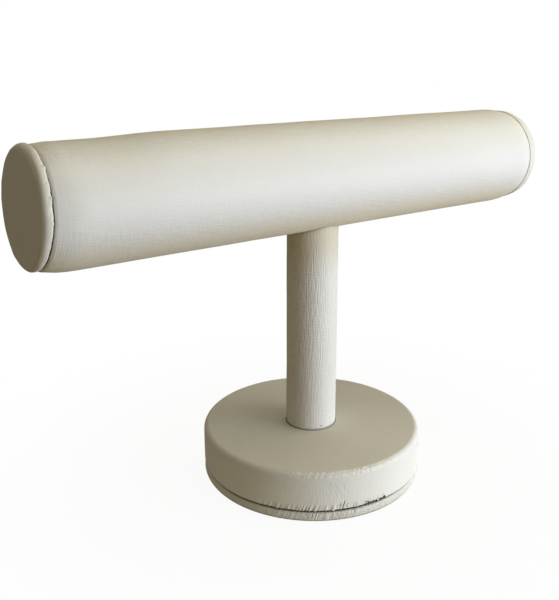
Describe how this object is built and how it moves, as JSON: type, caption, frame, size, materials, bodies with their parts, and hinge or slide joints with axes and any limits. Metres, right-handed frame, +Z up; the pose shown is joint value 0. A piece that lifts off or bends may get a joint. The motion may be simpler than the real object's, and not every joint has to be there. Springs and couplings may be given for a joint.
{
  "type": "bracelet display stand",
  "caption": "T-bar stand that holds bracelets and watches on a padded horizontal bar, carried by a wrapped post on a round wrapped base.",
  "frame": {"origin": "middle of the base's underside", "axes": "+X along the bar, +Y from the front to the back, +Z up the post"},
  "size_m": [0.3, 0.118, 0.19],
  "materials": {
    "leatherette": "ivory pearl polyurethane leatherette with a fine linen emboss, satin sheen",
    "foam": "thin closed-cell foam sheet",
    "paperboard": "plain grey-brown spiral-wound and sheet board",
    "plain_wood": "plain unfinished turned wood",
    "fibreboard": "raw medium-density fibreboard",
    "steel": "zinc-plated steel"
  },
  "bodies": {
    "root": {"bar_tube": "paperboard", "bar_foam": "foam", "bar_cover": "leatherette", "saddle_block": "plain_wood", "bar_washer": "steel", "bar_screw": "steel", "post_core": "plain_wood", "post_cover": "leatherette", "base_block": "fibreboard", "base_foam": "foam", "base_cover": "leatherette", "base_washer": "steel", "base_screw": "steel", "plate_board": "paperboard", "plate_cover": "leatherette", "left_cap_disc": "paperboard", "left_cap_plug": "plain_wood", "left_cap_foam": "foam", "left_cap_cover": "leatherette", "right_cap_disc": "paperboard", "right_cap_plug": "plain_wood", "right_cap_foam": "foam", "right_cap_cover": "leatherette"}
  },
  "joints": []
}
